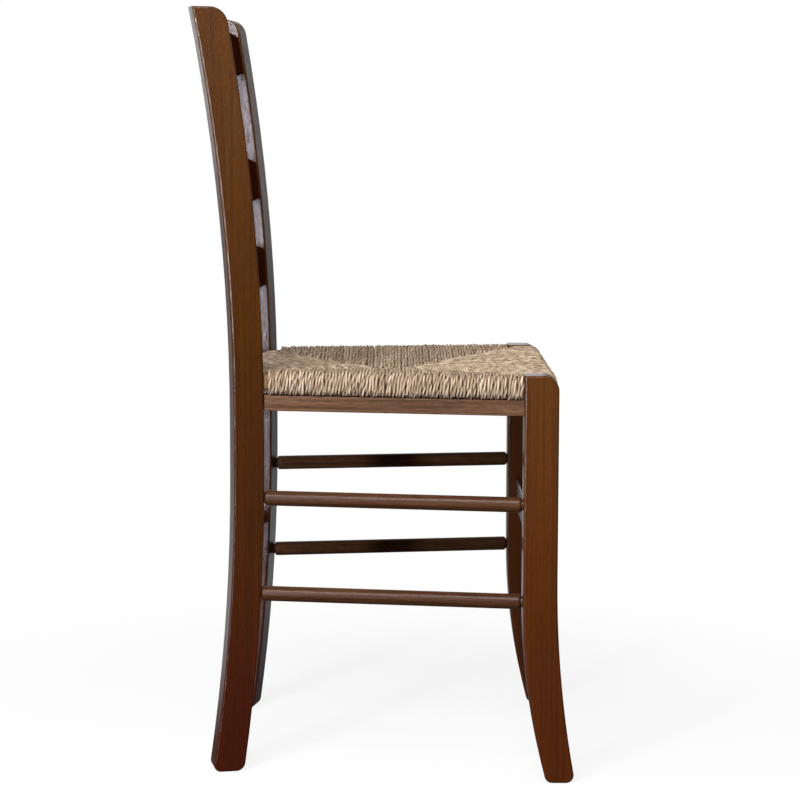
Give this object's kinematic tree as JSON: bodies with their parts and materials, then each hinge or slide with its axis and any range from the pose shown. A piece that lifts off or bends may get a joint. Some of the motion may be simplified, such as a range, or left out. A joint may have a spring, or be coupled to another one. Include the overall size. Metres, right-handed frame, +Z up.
{
  "type": "ladderback chair",
  "caption": "Armless ladderback dining chair: curved stained-beech posts with bowed slats, sabre front legs, turned side stretchers and a hand-woven rush seat.",
  "frame": {"origin": "on the floor, under the middle of the chair's bounding box", "axes": "+Z up, the chair's front towards -Y, the sitter's left hand towards +X"},
  "size_m": [0.44, 0.4412, 0.88],
  "materials": {
    "sawn_beech": "walnut-stained beech, satin lacquer",
    "turned_beech": "walnut-stained turned beech, satin lacquer",
    "rail_beech": "stained beech, thinner stain and satin lacquer",
    "bare_beech": "bare planed beech, hidden in the seat",
    "loose_rush": "loose dry rush, hidden in the seat",
    "woven_rush": "natural twisted rush, matt with a dry sheen"
  },
  "bodies": {
    "root": {"rear_post_left": "sawn_beech", "rear_post_right": "sawn_beech", "front_leg_left": "sawn_beech", "front_leg_right": "sawn_beech", "top_slat": "sawn_beech", "middle_slat": "sawn_beech", "lower_slat": "sawn_beech", "upper_side_stretcher_left": "turned_beech", "upper_side_stretcher_right": "turned_beech", "lower_side_stretcher_left": "turned_beech", "lower_side_stretcher_right": "turned_beech", "rear_stretcher": "turned_beech", "front_stretcher": "sawn_beech", "seat_rail_left": "rail_beech", "seat_rail_right": "rail_beech", "seat_rail_rear": "rail_beech", "seat_rail_front": "rail_beech", "seat_bar_left": "bare_beech", "seat_bar_right": "bare_beech", "seat_bar_rear": "bare_beech", "seat_bar_front": "bare_beech", "seat_stuffing": "loose_rush", "rush_seat": "woven_rush"}
  },
  "joints": []
}
